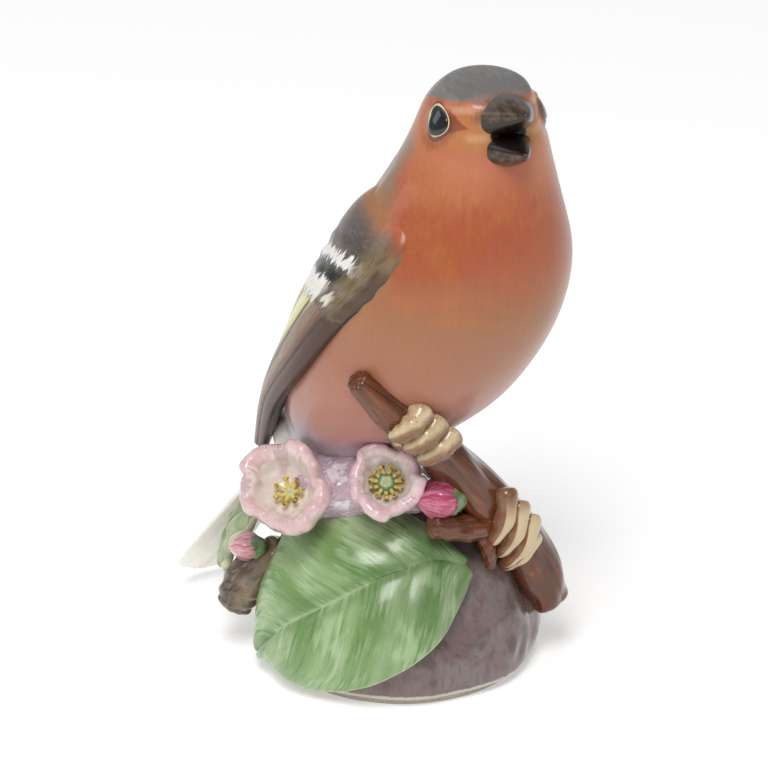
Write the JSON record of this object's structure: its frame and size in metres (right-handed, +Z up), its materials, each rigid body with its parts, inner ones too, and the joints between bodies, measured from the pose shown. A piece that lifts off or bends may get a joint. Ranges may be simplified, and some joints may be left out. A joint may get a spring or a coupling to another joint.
{
  "type": "porcelain songbird figurine",
  "caption": "Glazed porcelain figurine of a singing songbird perched across a branch, above a rocky mound with a broad leaf, pink blossoms and buds.",
  "frame": {"origin": "centre of the foot ring, on the plane the figure stands on", "axes": "+Z up; the bird's breast faces -Y and its tail +Y; the bird's right side is -X"},
  "size_m": [0.0321, 0.0469, 0.0658],
  "materials": {
    "bird_glaze": "clear gloss glaze over painted orange, rose and buff",
    "beak_glaze": "gloss, dark horn brown",
    "eye_glaze": "gloss black",
    "wing_glaze": "gloss, painted feathers in grey-brown with white bars",
    "tail_glaze": "gloss, ivory white below and slate above",
    "leg_glaze": "gloss, ochre brown",
    "toe_glaze": "gloss, cream with brown speckle",
    "rock_glaze": "gloss, streaked mauve grey",
    "foot_biscuit": "unglazed biscuit, dulled by handling",
    "bark_glaze": "gloss, streaked russet brown",
    "stub_glaze": "gloss, dark brown",
    "leaf_glaze": "gloss, stippled green with pale veins",
    "rear_leaf_glaze": "gloss, green",
    "dark_leaf_glaze": "gloss, deep green",
    "bed_glaze": "gloss, stippled lavender",
    "petal_glaze": "gloss, white flushed with rose",
    "stamen_glaze": "gloss, yellow with brown dots",
    "pistil_glaze": "gloss, leaf green",
    "pale_pistil_glaze": "gloss, pale yellow green",
    "bud_glaze": "gloss, deep rose",
    "calyx_glaze": "gloss, grey green"
  },
  "bodies": {
    "root": {"body_shell": "bird_glaze", "upper_beak": "beak_glaze", "lower_beak": "beak_glaze", "right_eye": "eye_glaze", "left_eye": "eye_glaze", "right_wing": "wing_glaze", "left_wing": "wing_glaze", "tail": "tail_glaze", "right_leg": "leg_glaze", "left_leg": "leg_glaze", "right_front_toes": "toe_glaze", "right_hind_toe": "toe_glaze", "left_front_toes": "toe_glaze", "left_hind_toe": "toe_glaze", "mound_shell": "rock_glaze", "foot_ring": "foot_biscuit", "main_branch": "bark_glaze", "side_branch": "bark_glaze", "rootlet": "bark_glaze", "cut_stub": "stub_glaze", "front_leaf": "leaf_glaze", "rear_left_leaf": "rear_leaf_glaze", "rear_right_leaf": "dark_leaf_glaze", "blossom_bed": "bed_glaze", "right_blossom": "petal_glaze", "right_stamens": "stamen_glaze", "right_pistil": "pistil_glaze", "left_blossom": "petal_glaze", "left_stamens": "stamen_glaze", "left_pistil": "pale_pistil_glaze", "right_bud": "bud_glaze", "right_bud_calyx": "calyx_glaze", "left_bud": "bud_glaze", "left_bud_calyx": "calyx_glaze"}
  },
  "joints": []
}
